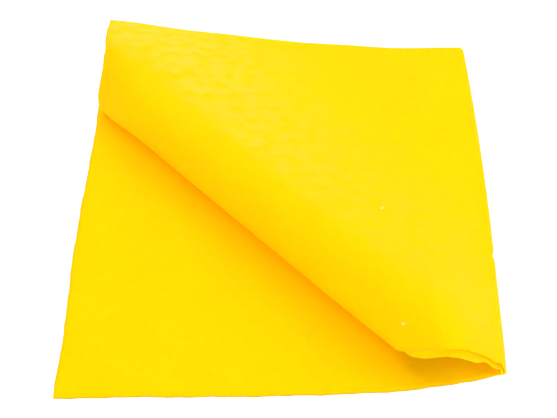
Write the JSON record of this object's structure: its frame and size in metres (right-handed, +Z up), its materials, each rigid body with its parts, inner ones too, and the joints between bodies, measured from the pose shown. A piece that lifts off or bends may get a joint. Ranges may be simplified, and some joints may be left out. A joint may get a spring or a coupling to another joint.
{
  "type": "cleaning cloth",
  "caption": "Square needled nonwoven cleaning cloth folded in four, its loose front corner rolled under along a soft diagonal; the upper leaf opens about the side fold.",
  "frame": {"origin": "middle of the folded cloth's outline, on the surface it lies on", "axes": "+Z up from that surface, +X towards the spine (the second fold), +Y towards the back edge (the first fold)"},
  "size_m": [0.1954, 0.198, 0.0309],
  "materials": {
    "yellow_nonwoven": "matt dyed needle-punched viscose nonwoven, faintly fibrous"
  },
  "bodies": {
    "lower_leaf": {"bottom_panel": "yellow_nonwoven", "second_panel": "yellow_nonwoven", "lower_back_fold": "yellow_nonwoven", "outer_spine_lower": "yellow_nonwoven", "inner_spine_lower": "yellow_nonwoven"},
    "upper_leaf": {"third_panel": "yellow_nonwoven", "top_panel": "yellow_nonwoven", "upper_back_fold": "yellow_nonwoven", "outer_spine_upper": "yellow_nonwoven", "inner_spine_upper": "yellow_nonwoven", "inner_roll": "yellow_nonwoven", "outer_roll": "yellow_nonwoven"},
    "tucked_corner": {"inner_tucked_corner": "yellow_nonwoven", "outer_tucked_corner": "yellow_nonwoven"}
  },
  "joints": [
    {"name": "spine_fold", "type": "hinge", "parent": "lower_leaf", "child": "upper_leaf", "pos_m": [0.0979, 0, 0.00295], "axis": [0, 1, 0], "range_deg": [0, 135]},
    {"name": "corner_fold", "type": "hinge", "parent": "upper_leaf", "child": "tucked_corner", "pos_m": [-0.00898, -0.00898, 0.0031], "axis": [-0.7218, 0.6921, 0], "range_deg": [0, 54]}
  ],
  "couplings": [
    {"joint": "corner_fold", "follows": "spine_fold", "ratio": 0.4}
  ]
}
